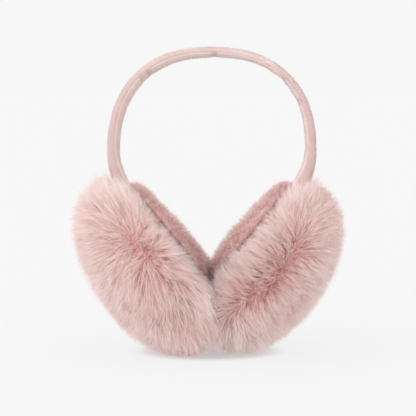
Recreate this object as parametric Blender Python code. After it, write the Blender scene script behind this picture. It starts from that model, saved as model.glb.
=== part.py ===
"""Fur earmuffs standing on their two cups, in metres, +Z up, seen from the front along +Y.

A padded plush headband arches over two deep fur cups. Each cup is a thick cushion of fur whose
locks grow out of a firm core, and it carries a padded ring with a hollow for the ear on the side
that meets the head. The band's tails lie in channels of the cores, under the rings. The two cups
lean together at the bottom, where their fur is pressed flat.
"""

import math
import random

import bmesh
import bpy
from mathutils import Matrix, Vector

MM = 0.001

# The fur cup, from lock tip to lock tip, and how much fuller each side's fur stands
FUR_RADIUS = 67.0 * MM
FUR_OUTER_DEPTH = 42.4 * MM
LOCK_LENGTH = 11.0 * MM
FULLNESS = {-1: 1.03, 1: 0.975}
CORE_INNER_DEPTH = 23.0 * MM
CORE_SHOULDER_POWER = 4.0
SEAT_DEPTH = 19.0 * MM

# How the cups stand
CUP_TILT = math.radians(38.0)
CUP_YAW = math.radians(8.0)
CUP_OFFSET = 34.2 * MM
FLOOR_CRUSH = 4.3 * MM
FLOOR_BLEND = 11.0 * MM
NOTCH_WIDTH = 6.5 * MM
NOTCH_BLEND = 7.0 * MM

# The padded ring that meets the head
PAD_RADIUS = 44.5 * MM
PAD_CREST_RADIUS = 31.0 * MM
PAD_CREST_DEPTH = 30.2 * MM
PAD_TOP_THINNING = 1.8 * MM
PAD_RAISE = 6.5 * MM
HOLLOW_RADIUS = 22.0 * MM
HOLLOW_DEPTH = 8.7 * MM
PAD_SQUEEZE_SOFTNESS = 3.5 * MM
PAD_SEAT_SHARE = 0.94
PAD_EDGE_SHARE = 0.2

# The headband
BAND_WIDTH = 15.0 * MM
BAND_THICKNESS = 7.2 * MM
BAND_TURN_FROM, BAND_TURN_TO = 0.09, 0.4
BAND_SECTION_POWER = 2.8
ARCH_RISE = 62.7 * MM
ARCH_POWER = 2.33
ARCH_SKEW = 1.0 * MM
LEG_HEIGHT = 17.0 * MM
LEG_BULGE = {-1: 0.95 * MM, 1: 2.3 * MM}
TAIL_LENGTH = 24.0 * MM
TAIL_BEND = 15.0 * MM
TAIL_ENTRY_SHARE = 0.925

# The band from its left tail to its right one: where, as a share of its length, how thick, as a
# share of its thickness, and how many degrees its inner face turns to the front
BAND_FORM = (
    {"along": 0.0, "thick": 1.25, "turn": 0.0},
    {"along": 0.08, "thick": 1.25, "turn": 0.0},
    {"along": 0.15, "thick": 1.0, "turn": 13.0},
    {"along": 0.33, "thick": 0.95, "turn": 13.0},
    {"along": 0.5, "thick": 0.82, "turn": 9.0},
    {"along": 0.67, "thick": 0.80, "turn": 2.0},
    {"along": 0.85, "thick": 0.98, "turn": 4.0},
    {"along": 0.92, "thick": 1.25, "turn": 0.0},
    {"along": 1.0, "thick": 1.25, "turn": 0.0},
)

# Gaps between the pieces
CLEARANCE = 0.3 * MM

# How finely the pieces are divided
CORE_SUBDIVISIONS = 3
PAD_SEGMENTS = 36
PAD_ARC_STEPS = 5
BAND_SECTIONS = 52
BAND_SECTION_POINTS = 12
ROUTE_STEPS = 40

# The locks: where along its length a section lies, and its width as a share of the root's
LOCK_SECTIONS = (
    {"along": 0.40, "width": 0.94},
    {"along": 0.78, "width": 0.62},
    {"along": 1.0, "width": 0.14},
)
LOCK_OUTWARD_LEAN = 0.30
LOCK_DROOP = 0.16
LOCK_WANDER = 0.16
LOCK_LENGTH_SPREAD = 0.12
LOCK_ROOT_WANDER = 0.045
LOCK_SKEW_LIMIT = 0.75
SHORTEST_LOCK_SHARE = 0.35
SMALLEST_ROOT_SHARE = 0.15
LOCK_SEEDS = {-1: 11, 1: 29}

BIG = 0.5
SIDE_NAMES = {-1: "left", 1: "right"}
FUR_COLOUR = (0.76, 0.52, 0.48, 1.0)
PAD_COLOUR = (0.62, 0.36, 0.34, 1.0)
BAND_COLOUR = (0.74, 0.52, 0.48, 1.0)


def clear_scene():
    for found in list(bpy.data.objects):
        bpy.data.objects.remove(found, do_unlink=True)


def collection_named(name):
    made = bpy.data.collections.new(name)
    bpy.context.scene.collection.children.link(made)
    return made


def material_named(name, colour, roughness):
    made = bpy.data.materials.new(name)
    made.use_nodes = True
    shader = made.node_tree.nodes["Principled BSDF"]
    shader.inputs["Base Color"].default_value = colour
    shader.inputs["Roughness"].default_value = roughness
    shader.inputs["Metallic"].default_value = 0.0
    return made


def object_from(made, name, collection, material=None, smooth=False):
    """Turns a bmesh into an object of the collection."""
    mesh = bpy.data.meshes.new(name)
    bmesh.ops.recalc_face_normals(made, faces=made.faces)
    made.to_mesh(mesh)
    made.free()
    if smooth:
        mesh.shade_smooth()
    if material:
        mesh.materials.append(material)
    placed = bpy.data.objects.new(name, mesh)
    collection.objects.link(placed)
    return placed


def cut_away(target, cutter):
    """Subtracts a cutter, and keeps the modifier on the target."""
    modifier = target.modifiers.new("cut_" + cutter.name, "BOOLEAN")
    modifier.operation = "DIFFERENCE"
    modifier.solver = "EXACT"
    modifier.object = cutter


def box_cutter(name, low, high, matrix, collection):
    """A hidden box from one corner to the other, in the axes of the matrix."""
    low, high = Vector(low), Vector(high)
    made = bmesh.new()
    bmesh.ops.create_cube(made, size=1.0)
    bmesh.ops.scale(made, vec=high - low, verts=made.verts)
    bmesh.ops.translate(made, vec=(low + high) / 2, verts=made.verts)
    cutter = object_from(made, name, collection)
    cutter.matrix_world = matrix
    cutter.hide_render = True
    cutter.display_type = "WIRE"
    return cutter


def blend_between(value, start, end):
    """0 before start and 1 after end, with a smooth step between them."""
    share = min(1.0, max(0.0, (value - start) / (end - start)))
    return share * share * (3 - 2 * share)


class CupFrame:
    """Where one cup lies. Its own axes are across, up to the band, and out, away from the head."""

    def __init__(self, side):
        self.side = side
        self.fullness = FULLNESS[side]
        tilt, yaw = math.sin(CUP_TILT), math.sin(CUP_YAW)
        flat_tilt, flat_yaw = math.cos(CUP_TILT), math.cos(CUP_YAW)
        self.out = Vector((side * flat_tilt * flat_yaw, -yaw, -tilt * flat_yaw))
        self.up = Vector((side * tilt, 0.0, flat_tilt))
        self.across = self.up.cross(self.out)
        reach = math.hypot(
            FUR_RADIUS * math.sqrt(1 - self.out.z**2), FUR_OUTER_DEPTH * self.out.z
        )
        self.centre = Vector((side * CUP_OFFSET, 0.0, reach - FLOOR_CRUSH))
        axes = Matrix((self.across, self.up, self.out)).transposed()
        self.matrix = Matrix.Translation(self.centre) @ axes.to_4x4()

    def place(self, across, up, out):
        """A point of the cup's own axes, in the world."""
        return self.matrix @ Vector((across, up, out))

    def local_plane(self, point, normal):
        """A plane of the world in the cup's own axes."""
        turned = self.matrix.to_3x3().transposed() @ Vector(normal)
        return self.matrix.inverted() @ Vector(point), turned

    def kept_clear(self, point):
        """A point of the cup's axes moved out of the floor and out of the other cup's half."""
        world = self.matrix @ point
        world.z = max(world.z, 0.0)
        world.x = self.side * max(self.side * world.x, CLEARANCE / 2)
        return self.matrix.inverted() @ world

    def lowest_up(self, point):
        """How low along the cup's up axis a point may lie before it crosses to the other cup."""
        world = self.matrix @ point
        short = CLEARANCE / 2 - self.side * world.x
        return point.y + short / (self.side * self.up.x)


def band_form(along, column):
    """One column of the band's table at a share of its length."""
    for before, after in zip(BAND_FORM, BAND_FORM[1:]):
        if along <= after["along"]:
            step = (along - before["along"]) / (after["along"] - before["along"])
            return before[column] + (after[column] - before[column]) * step
    return BAND_FORM[-1][column]


def tail_thickness():
    """The band's thickness where its padding swells, from the fur down to the tail's end."""
    return BAND_THICKNESS * band_form(0.0, "thick")


def tail_depth():
    """The depth of the band's centre line in the cup, just under the ring's seat."""
    return SEAT_DEPTH - CLEARANCE - tail_thickness() / 2


def core_point(frame, direction):
    """The core's surface, in the cup's axes, for a unit direction."""
    depth = direction.z
    level = math.sqrt(max(0.0, 1 - depth * depth))
    radius = (FUR_RADIUS - LOCK_LENGTH) * frame.fullness
    if depth >= 0:
        ring, height = radius * level, (FUR_OUTER_DEPTH - LOCK_LENGTH) * frame.fullness * depth
    else:
        power = 2 / CORE_SHOULDER_POWER
        ring, height = radius * level**power, -CORE_INNER_DEPTH * (-depth) ** power
    around = Vector((direction.x, direction.y, 0.0))
    if around.length > 0:
        around.normalize()
    return Vector((around.x * ring, around.y * ring, height))


def tip_point(frame, direction):
    """Where the fur ends on the outer side, in the cup's axes, for a unit direction."""
    radius = FUR_RADIUS * frame.fullness
    depth = FUR_OUTER_DEPTH * frame.fullness
    return Vector((direction.x * radius, direction.y * radius, direction.z * depth))


def crushed(frame, direction):
    """The core's surface, swollen to the tips where the cup's own weight mats the fur on the floor."""
    point = core_point(frame, direction)
    if direction.z < 0:
        return point
    tip = tip_point(frame, direction)
    world = frame.matrix @ tip
    low = 1 - blend_between(world.z, 0.0, FLOOR_BLEND)
    clear = blend_between(abs(world.x), NOTCH_WIDTH, NOTCH_WIDTH + NOTCH_BLEND)
    return point.lerp(tip, low * clear)


def cut_flat(made, plane):
    """Cuts the body along a plane and closes it with one flat face."""
    point, normal = plane
    cut = bmesh.ops.bisect_plane(
        made,
        geom=made.verts[:] + made.edges[:] + made.faces[:],
        plane_co=point,
        plane_no=normal,
        clear_outer=True,
    )
    rim = [edge for edge in cut["geom_cut"] if isinstance(edge, bmesh.types.BMEdge)]
    bmesh.ops.contextual_create(made, geom=rim)


def lock_wanted(frame, face):
    """Whether a lock grows here: not on a cut face, in the matted places or at the band."""
    centre = face.calc_center_median()
    world = frame.matrix @ centre
    if centre.z < -SEAT_DEPTH + LOCK_LENGTH / 4 and face.normal.z < -0.5:
        return False
    if frame.side * world.x < LOCK_LENGTH / 4:
        return False
    if world.z < LOCK_LENGTH / 2 and abs(world.x) > NOTCH_WIDTH:
        return False
    if face.calc_area() < SMALLEST_ROOT_SHARE * LOCK_LENGTH**2:
        return False
    near_band = abs(centre.x) < BAND_WIDTH and centre.y > 0
    return not (near_band and centre.z < -tail_depth() + BAND_WIDTH)


def lock_vector(frame, face, dice):
    """From a lock's root to its tip: along the surface's normal, combed outward and hanging a little.

    A lock that meets the floor or the other cup ends there, and None stands for one that has no room.
    """
    centre, normal = face.calc_center_median(), face.normal
    around = Vector((centre.x, centre.y, 0.0)).normalized()
    down = frame.matrix.to_3x3().transposed() @ Vector((0.0, 0.0, -1.0))
    wander = Vector([dice.uniform(-1, 1) for _ in range(3)])
    combed = normal + LOCK_OUTWARD_LEAN * around + LOCK_DROOP * down + LOCK_WANDER * wander
    length = LOCK_LENGTH * frame.fullness * (1 + LOCK_LENGTH_SPREAD * dice.uniform(-1, 1))
    combed.normalize()
    vector = combed * (length / max(LOCK_SKEW_LIMIT, combed.dot(normal)))
    root, reach = frame.matrix @ centre, frame.matrix.to_3x3() @ vector
    room = 1.0
    for gap, towards in ((root.z, -reach.z), (frame.side * root.x, -frame.side * reach.x)):
        if towards > 0:
            room = min(room, (gap - CLEARANCE) / towards)
    return vector * room if room > SHORTEST_LOCK_SHARE else None


def grow_lock(made, frame, face, vector):
    """Draws one face out into a lock that keeps its width at first and then narrows to its tip."""
    roots = [corner.co.copy() for corner in face.verts]
    middle = face.calc_center_median()
    for section in LOCK_SECTIONS:
        face = bmesh.ops.extrude_discrete_faces(made, faces=[face])["faces"][0]
        for corner, root in zip(face.verts, roots):
            flat = (root - middle) * section["width"]
            corner.co = frame.kept_clear(middle + flat + vector * section["along"])


def fur_cup(frame, collection, cutters, material):
    """The core, cut flat at the seat, the floor and the other cup, its locks, and the band's channel."""
    dice = random.Random(LOCK_SEEDS[frame.side])
    name = SIDE_NAMES[frame.side]
    made = bmesh.new()
    bmesh.ops.create_icosphere(made, subdivisions=CORE_SUBDIVISIONS, radius=1.0)
    for corner in made.verts:
        wander = Vector([dice.uniform(-1, 1) for _ in range(3)]) * LOCK_ROOT_WANDER
        corner.co = crushed(frame, (corner.co + wander).normalized())
    cut_flat(made, ((0.0, 0.0, -SEAT_DEPTH), (0.0, 0.0, -1.0)))
    cut_flat(made, frame.local_plane((0.0, 0.0, 0.0), (0.0, 0.0, -1.0)))
    cut_flat(made, frame.local_plane((frame.side * CLEARANCE / 2, 0.0, 0.0), (-frame.side, 0.0, 0.0)))
    bmesh.ops.recalc_face_normals(made, faces=made.faces)
    for face in [face for face in made.faces if lock_wanted(frame, face)]:
        vector = lock_vector(frame, face, dice)
        if vector:
            grow_lock(made, frame, face, vector)
    cup = object_from(made, name + "_fur_cup", collection, material)
    cup.matrix_world = frame.matrix

    depth = tail_depth() - tail_thickness() / 2 - CLEARANCE
    half_width = BAND_WIDTH / 2 + CLEARANCE
    tail_end = FUR_RADIUS * TAIL_ENTRY_SHARE - TAIL_LENGTH
    channel = box_cutter(
        name + "_band_channel",
        (-half_width, tail_end - CLEARANCE, -BIG),
        (half_width, BIG, -depth),
        frame.matrix,
        cutters,
    )
    cut_away(cup, channel)
    return cup


def pad_profile():
    """The ring's half section as (radius, depth), from the axis at the seat to the axis in the hollow."""
    seat = SEAT_DEPTH + CLEARANCE
    seat_edge = PAD_RADIUS * PAD_SEAT_SHARE
    points = [(0.0, seat), (seat_edge / 2, seat), (seat_edge, seat)]
    for step in range(PAD_ARC_STEPS):
        turn = math.pi / 2 * step / PAD_ARC_STEPS
        radius = PAD_CREST_RADIUS + (PAD_RADIUS - PAD_CREST_RADIUS) * math.cos(turn)
        risen = PAD_EDGE_SHARE + (1 - PAD_EDGE_SHARE) * math.sin(turn)
        depth = seat + (PAD_CREST_DEPTH - seat) * risen
        points.append((radius, depth))
    for step in range(PAD_ARC_STEPS + 1):
        turn = math.pi / 2 * step / PAD_ARC_STEPS
        radius = HOLLOW_RADIUS + (PAD_CREST_RADIUS - HOLLOW_RADIUS) * math.cos(turn)
        depth = PAD_CREST_DEPTH - HOLLOW_DEPTH * (1 - math.cos(turn) ** 2)
        points.append((radius, depth))
    hollow_floor = PAD_CREST_DEPTH - HOLLOW_DEPTH
    return points + [(HOLLOW_RADIUS / 2, hollow_floor), (0.0, hollow_floor)]


def squeezed(frame, point):
    """Pushes a point of the ring up its own plane, so that the ring gives way to the other cup's."""
    lowest = frame.lowest_up(point)
    spare = (point.y - lowest) / PAD_SQUEEZE_SOFTNESS
    room = PAD_SQUEEZE_SOFTNESS * (math.log1p(math.exp(-abs(spare))) + max(spare, 0.0))
    return Vector((point.x, lowest + room, point.z))


def ear_pad(frame, collection, material):
    """The padded ring with its hollow, turned round its axis, thinned at the top, squeezed at the bottom."""
    made = bmesh.new()
    corners = [made.verts.new((radius, PAD_RAISE, -depth)) for radius, depth in pad_profile()]
    edges = [made.edges.new(pair) for pair in zip(corners, corners[1:])]
    bmesh.ops.spin(
        made,
        geom=corners + edges,
        cent=(0.0, PAD_RAISE, 0.0),
        axis=(0.0, 0.0, 1.0),
        angle=2 * math.pi,
        steps=PAD_SEGMENTS,
    )
    bmesh.ops.remove_doubles(made, verts=made.verts, dist=CLEARANCE / 100)
    for corner in made.verts:
        risen = (-corner.co.z - SEAT_DEPTH) / (PAD_CREST_DEPTH - SEAT_DEPTH)
        upper = blend_between(corner.co.y, PAD_RAISE, PAD_RAISE + PAD_RADIUS)
        corner.co.z += PAD_TOP_THINNING * upper * max(risen, 0.0)
        corner.co = squeezed(frame, corner.co)
    pad = object_from(made, SIDE_NAMES[frame.side] + "_ear_pad", collection, material, smooth=True)
    pad.matrix_world = frame.matrix
    return pad


def arch_point(angle, half_width):
    """The arch's centre line over its own centre: 0 at the right end of the span, a half turn at the left."""
    across, rise = math.cos(angle), math.sin(angle)
    size = (abs(across) / half_width) ** ARCH_POWER + (abs(rise) / ARCH_RISE) ** ARCH_POWER
    reach = size ** (-1 / ARCH_POWER)
    return Vector((across * reach, 0.0, rise * reach))


def band_route(frame):
    """The right half of the band's centre line, from the top of the arch to the tail's end in the cup."""
    entry_up = FUR_RADIUS * TAIL_ENTRY_SHARE
    entry = frame.place(0.0, entry_up, -tail_depth())
    tail = frame.place(0.0, entry_up - TAIL_LENGTH, -tail_depth())
    half_width = frame.side * entry.x + LEG_BULGE[frame.side]
    middle = Vector((0.0, entry.y, entry.z + LEG_HEIGHT))
    points = []
    for step in range(ROUTE_STEPS + 1):
        found = arch_point(math.pi / 2 * (1 - step / ROUTE_STEPS), half_width)
        skewed = frame.side * found.x + ARCH_SKEW * found.z / ARCH_RISE
        points.append(middle + Vector((skewed, 0.0, found.z)))
    start = points[-1]
    first_pull = start - Vector((0.0, 0.0, TAIL_BEND))
    second_pull = tail + frame.up * TAIL_BEND
    for step in range(1, ROUTE_STEPS + 1):
        share = step / ROUTE_STEPS
        rest = 1 - share
        points.append(
            start * rest**3
            + first_pull * 3 * rest**2 * share
            + second_pull * 3 * rest * share**2
            + tail * share**3
        )
    return points


def evenly_spaced(points, count):
    """The same route with its points an even distance apart."""
    lengths = [0.0]
    for before, after in zip(points, points[1:]):
        lengths.append(lengths[-1] + (after - before).length)
    spaced, index = [], 0
    for step in range(count + 1):
        wanted = lengths[-1] * step / count
        while index < len(points) - 2 and lengths[index + 1] < wanted:
            index += 1
        share = (wanted - lengths[index]) / (lengths[index + 1] - lengths[index])
        spaced.append(points[index].lerp(points[index + 1], share))
    return spaced


def headband(frames, collection, material):
    """The padded band: one rounded section swept along the arch, turned to lie flat in each cup."""
    halves = {side: evenly_spaced(band_route(frame), BAND_SECTIONS // 2) for side, frame in frames.items()}
    route = list(reversed(halves[-1])) + halves[1][1:]
    made = bmesh.new()
    loops = []
    last = len(route) - 1
    for index, centre in enumerate(route):
        along = route[min(index + 1, last)] - route[max(index - 1, 0)]
        along.normalize()
        frame = frames[-1 if index < last / 2 else 1]
        if index in (0, last):
            along = frame.up if index == 0 else -frame.up
        from_end = min(index, last - index) / last
        turned = 1 - blend_between(from_end, BAND_TURN_FROM, BAND_TURN_TO)
        thickness = BAND_THICKNESS * band_form(index / last, "thick")
        width_axis = Vector((0.0, 1.0, 0.0))
        cup_axis = frame.across if frame.across.y > 0 else -frame.across
        width_axis = width_axis.lerp(cup_axis, turned).normalized()
        turn = math.radians(band_form(index / last, "turn"))
        width_axis = Matrix.Rotation(-turn, 3, along) @ width_axis
        thick_axis = along.cross(width_axis).normalized()
        width_axis = thick_axis.cross(along)
        ring = []
        for point in range(BAND_SECTION_POINTS):
            turn = 2 * math.pi * point / BAND_SECTION_POINTS
            across, through = math.cos(turn), math.sin(turn)
            size = (abs(across) ** BAND_SECTION_POWER + abs(through) ** BAND_SECTION_POWER)
            reach = size ** (-1 / BAND_SECTION_POWER)
            offset = width_axis * (across * reach * BAND_WIDTH / 2)
            offset += thick_axis * (through * reach * thickness / 2)
            ring.append(made.verts.new(centre + offset))
        edges = [made.edges.new((a, b)) for a, b in zip(ring, ring[1:] + ring[:1])]
        loops.append((ring, edges))
    for (_, first), (_, second) in zip(loops, loops[1:]):
        bmesh.ops.bridge_loops(made, edges=first + second)
    for ring, _ in (loops[0], loops[-1]):
        made.faces.new(ring)
    return object_from(made, "headband", collection, material, smooth=True)


def centre_over_origin(pieces, helpers):
    """Moves the whole object so that its box stands centred on the origin."""
    bpy.context.view_layer.update()
    graph = bpy.context.evaluated_depsgraph_get()
    corners = []
    for piece in pieces:
        shown = piece.evaluated_get(graph)
        corners += [shown.matrix_world @ corner.co for corner in shown.data.vertices]
    middles = [(min(axis) + max(axis)) / 2 for axis in zip(*corners)]
    shift = Matrix.Translation((-middles[0], -middles[1], 0.0))
    for piece in pieces + helpers:
        piece.matrix_world = shift @ piece.matrix_world


def main():
    clear_scene()
    collection = collection_named("fur_earmuffs")
    cutters = collection_named("cutters")
    fur = material_named("pink_fur", FUR_COLOUR, 0.9)
    short_fur = material_named("pink_short_fur", PAD_COLOUR, 0.95)
    plush = material_named("pink_plush", BAND_COLOUR, 0.85)
    frames = {side: CupFrame(side) for side in (-1, 1)}
    pieces = [headband(frames, collection, plush)]
    for frame in frames.values():
        pieces.append(fur_cup(frame, collection, cutters, fur))
        pieces.append(ear_pad(frame, collection, short_fur))
    centre_over_origin(pieces, list(cutters.objects))


main()
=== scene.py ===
"""Looks of the fur earmuffs: deep fur on both cups, short fur on the ear rings and velour on the band.

Each cup has a pelt, which is the fur's backing, and two coats of strands that grow from it. The
strands part along a line round each cup's rim, gather in tufts and end on the cup's full shape.
The ear rings and the band are padded forms with a short pile of their own.
"""

import math

import bmesh
import bpy
import numpy as np
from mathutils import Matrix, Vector
from mathutils.kdtree import KDTree


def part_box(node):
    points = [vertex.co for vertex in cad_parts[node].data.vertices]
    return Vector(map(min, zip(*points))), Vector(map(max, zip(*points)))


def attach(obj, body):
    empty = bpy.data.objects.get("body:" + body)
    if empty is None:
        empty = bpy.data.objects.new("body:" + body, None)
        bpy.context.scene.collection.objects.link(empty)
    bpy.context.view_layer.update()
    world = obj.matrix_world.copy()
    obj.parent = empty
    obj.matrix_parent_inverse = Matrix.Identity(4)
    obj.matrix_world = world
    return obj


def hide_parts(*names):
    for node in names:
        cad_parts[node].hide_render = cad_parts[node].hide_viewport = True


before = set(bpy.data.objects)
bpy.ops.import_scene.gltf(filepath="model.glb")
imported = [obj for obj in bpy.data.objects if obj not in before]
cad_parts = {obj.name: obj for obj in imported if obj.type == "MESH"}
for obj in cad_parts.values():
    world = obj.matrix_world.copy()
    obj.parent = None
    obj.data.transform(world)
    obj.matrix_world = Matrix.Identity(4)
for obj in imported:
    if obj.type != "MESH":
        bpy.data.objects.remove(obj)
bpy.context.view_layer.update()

MM = 0.001

# How the cups stand, as in the part's source
CUP_TILT = math.radians(38.0)
CUP_YAW = math.radians(8.0)
CUP_OFFSET = 34.2 * MM
CUP_HEIGHT = 54.8 * MM
CUP_NAMES = {-1: "left", 1: "right"}

# The shape that the fur's tips make on each cup
FUR_RADIUS = {-1: 70.6 * MM, 1: 66.6 * MM}
FUR_OUTER_DEPTH = {-1: 45.2 * MM, 1: 43.3 * MM}
FUR_INNER_DEPTH = {-1: 18.0 * MM, 1: 19.4 * MM}
FUR_INNER_POWER = 3.8

# The pelt under the fur
OUTER_PILE = 14.0 * MM
PELT_INNER_DEPTH = 10.0 * MM
PELT_SHOULDER = 4.0
PELT_SEAT_DEPTH = 17.9 * MM
PELT_SUBDIVISIONS = 6
PELT_FLOOR_GAP = 1.2 * MM
PELT_PARTNER_GAP = 1.2 * MM
SEAT_WALL_FROM, SEAT_WALL_TO = 6.0 * MM, 1.0 * MM
CHANNEL_WALL_FROM, CHANNEL_WALL_TO = 1.0 * MM, 4.0 * MM
CHANNEL_END_FROM, CHANNEL_END_TO = 6.0 * MM, 2.0 * MM

# The padded ring, near the part's source, and drawn in by its pile
PAD_RADIUS = 44.5 * MM
PAD_CREST_RADIUS = 31.0 * MM
PAD_CREST_DEPTH = {-1: 28.2 * MM, 1: 30.0 * MM}
PAD_TOP_THINNING = 3.4 * MM
PAD_RAISE = 6.5 * MM
PAD_SEAT_DEPTH = 18.0 * MM
PAD_SQUEEZE_SOFTNESS = 3.0 * MM
HOLLOW_RADIUS = 22.0 * MM
HOLLOW_LEVEL = 21.5 * MM
RING_INSET = 3.2 * MM
HOLLOW_INSET = 1.6 * MM
RING_FOOT = 0.96
RING_WALL = 0.15
RING_DENT, RING_DENT_SIZE = 0.6 * MM, 16.0 * MM
RING_SEGMENTS = 96
RING_ARC_STEPS = 12

# The ring's short fur, longer at its top and its low end. Its knots are shares of a strand's length
RING_PILE = 3.5 * MM
HOLLOW_PILE = 2.2 * MM
HOLLOW_EDGE = 4.0 * MM
RING_STRANDS = 22000
RING_STRAND_WIDTH = 0.24 * MM
RING_KNOTS = (0.0, 0.55, 1.0)
RING_BARE = 0.1 * MM
RING_TURN, RING_TURN_SIZE = 0.30, 10.0 * MM
RING_STRAY = 0.22
RING_FRIZZ = 0.25 * RING_PILE
RING_BEND = 0.12
RING_TUFT = 1.0 * MM
RING_PULL = (0.0, 0.12, 0.28)
RING_ROOT_DEPTH = 0.4 * MM
RING_WEAVE = 0.8
RING_BAND_GAP = 0.3 * MM
RING_TOP_FROM, RING_TOP_TO = 36.0 * MM, 50.0 * MM
RING_TOP_LEAN = 1.3
RING_TOP_GROWTH = 0.7
RING_LOW_FROM, RING_LOW_TO = -34.0 * MM, -12.0 * MM
RING_LOW_GROWTH = 1.1

# Its tones, lighter on the left ring with painted light, and the painted shade beside the fringe
RING_TONE_AND_PAINTED_LIGHT = {-1: 0.3, 1: 0.08}
RING_MOTTLE, RING_MOTTLE_SIZE = 0.12, 12.0 * MM
RING_TUFT_TONE = 0.12
RING_SHADE = 0.6
RING_SHADE_FROM, RING_SHADE_TO = 1.0 * MM, 10.5 * MM

# The band, as in the part's source
BAND_WIDTH = 15.0 * MM
BAND_THICKNESS = 7.2 * MM
BAND_TURN_FROM, BAND_TURN_TO = 0.09, 0.4
BAND_SECTION_POWER = 2.8
ARCH_RISE = 62.7 * MM
ARCH_POWER = 2.33
ARCH_SKEW = 1.0 * MM
LEG_HEIGHT = 17.0 * MM
LEG_BULGE = {-1: 0.95 * MM, 1: 2.3 * MM}
TAIL_DEPTH = 14.2 * MM
TAIL_LENGTH = 24.0 * MM
TAIL_BEND = 15.0 * MM
TAIL_ENTRY = 62.0 * MM
BAND_SECTIONS = 260
BAND_SECTION_POINTS = 48
BAND_CLEAR_STEP = 4
ROUTE_STEPS = 60

# The seams of its inner lining: their step in section points from the sides, and their widths in
# radians round the section
SEAM_STEP = 3
SEAM_DEPTH = 0.2 * MM
SEAM_WIDTH = 0.12
SEAM_SHADE = 0.15
SEAM_PILE = 0.35
SEAM_PILE_EDGE = (0.02, 0.2)
LINING_EDGE = 0.1
# The inner lining is lighter, partly its own lighter tone and partly painted light against the shade
# beneath the band
LINING_TONE_AND_PAINTED_LIGHT = 0.35
CREASE_SHADE = 0.35

# Its velour: the ground, the needles of the pile, and the tones of both
VELOUR_INSET = 0.25 * MM
VELOUR_DEPTH = 0.7 * MM
PILE_COUNT = 48000
PILE_WIDTH = 0.16 * MM
PILE_ROOT = 0.2 * MM
PILE_BELOW = 6.0 * MM
PILE_LEAN = 0.9
PILE_STRAY = 0.25
PILE_SWELL_SIZE = 7.0 * MM
PILE_FACING = 1.5
PILE_ALONG = (0.2, 1.0)
PILE_TONE = 0.04
GROUND_ALONG = 0.75
FACE_TONE = 0.42
VELOUR_MOTTLE, VELOUR_MOTTLE_SIZE = 0.05, 9.0 * MM
CROWN_HALF_WIDTH = 8.0 * MM
# Painted light on the top of the arch, rising between these two heights
CROWN_PAINTED_LIGHT = 0.22
CROWN_FROM, CROWN_TO = 150.0 * MM, 186.0 * MM

# The band from its left tail to its right one: where, as a share of its length, how thick, as a
# share of its thickness, and how many degrees its inner face turns to the front
BAND_FORM = (
    {"along": 0.0, "thick": 1.25, "turn": 0.0},
    {"along": 0.08, "thick": 1.25, "turn": 0.0},
    {"along": 0.15, "thick": 1.0, "turn": 13.0},
    {"along": 0.33, "thick": 0.95, "turn": 13.0},
    {"along": 0.5, "thick": 0.82, "turn": 9.0},
    {"along": 0.67, "thick": 0.80, "turn": 2.0},
    {"along": 0.85, "thick": 0.98, "turn": 4.0},
    {"along": 0.92, "thick": 1.25, "turn": 0.0},
    {"along": 1.0, "thick": 1.25, "turn": 0.0},
)

# The small creases in the band's inner lining: where, as a share of its length, and how deep, as a
# share of the deepest
BAND_CREASE_DEPTH = 0.7 * MM
BAND_CREASE_WIDTH = 0.009
BAND_CREASES = (
    {"along": 0.325, "deep": 0.6},
    {"along": 0.345, "deep": 1.0},
    {"along": 0.503, "deep": 0.9},
    {"along": 0.628, "deep": 0.5},
    {"along": 0.672, "deep": 0.8},
    {"along": 0.738, "deep": 0.7},
    {"along": 0.85, "deep": 0.5},
)

# The lines that the fur parts along, round each cup: the angle from the across axis, and the
# distance out from the cup's middle as a share of the fur's outer depth
PARTINGS = (
    (
        {"angle": 28, "out": 0.12},
        {"angle": 24, "out": 0.16},
        {"angle": 19, "out": 0.16},
        {"angle": 14, "out": 0.13},
    ),
    (
        {"angle": 149, "out": 0.30},
        {"angle": 156, "out": 0.33},
        {"angle": 165, "out": 0.33},
        {"angle": 176, "out": 0.35},
        {"angle": 187, "out": 0.34},
        {"angle": 195, "out": 0.26},
        {"angle": 203, "out": 0.17},
        {"angle": 218, "out": 0.10},
    ),
)
PARTING_STEPS = 12

# Where the two cups' fur meets: the height, and how far right of the middle, as shares of these sizes
CREASE_HEIGHT = 58.0 * MM
CREASE_SWAY = 5.0 * MM
CREASE = (
    {"height": 0.0, "aside": 0.4},
    {"height": 0.19, "aside": 0.68},
    {"height": 0.38, "aside": 0.2},
    {"height": 0.66, "aside": -0.38},
    {"height": 0.79, "aside": -0.12},
    {"height": 1.0, "aside": 0.26},
    {"height": 1.4, "aside": 0.0},
)

# The two coats of fur. Reach and spread are where a coat's tips end and how much that varies, as shares
# of the full shape, top is the tips' place in the strand's colours, and pull draws the tufts together
COATS = {
    "under_fur": {
        "count": 58000,
        "knots": 3,
        "width": 0.34 * MM,
        "reach": 0.93,
        "spread": 0.06,
        "top": 0.80,
        "tuft": 1.2 * MM,
        "pull": (0.0, 0.15, 0.36),
        "frizz": 0.9 * MM,
        "seed": 100,
    },
    "guard_fur": {
        "count": 38000,
        "knots": 4,
        "width": 0.23 * MM,
        "reach": 0.995,
        "spread": 0.045,
        "top": 1.0,
        "tuft": 0.95 * MM,
        "pull": (0.0, 0.12, 0.36, 0.52),
        "frizz": 0.7 * MM,
        "seed": 200,
    },
}

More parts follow.
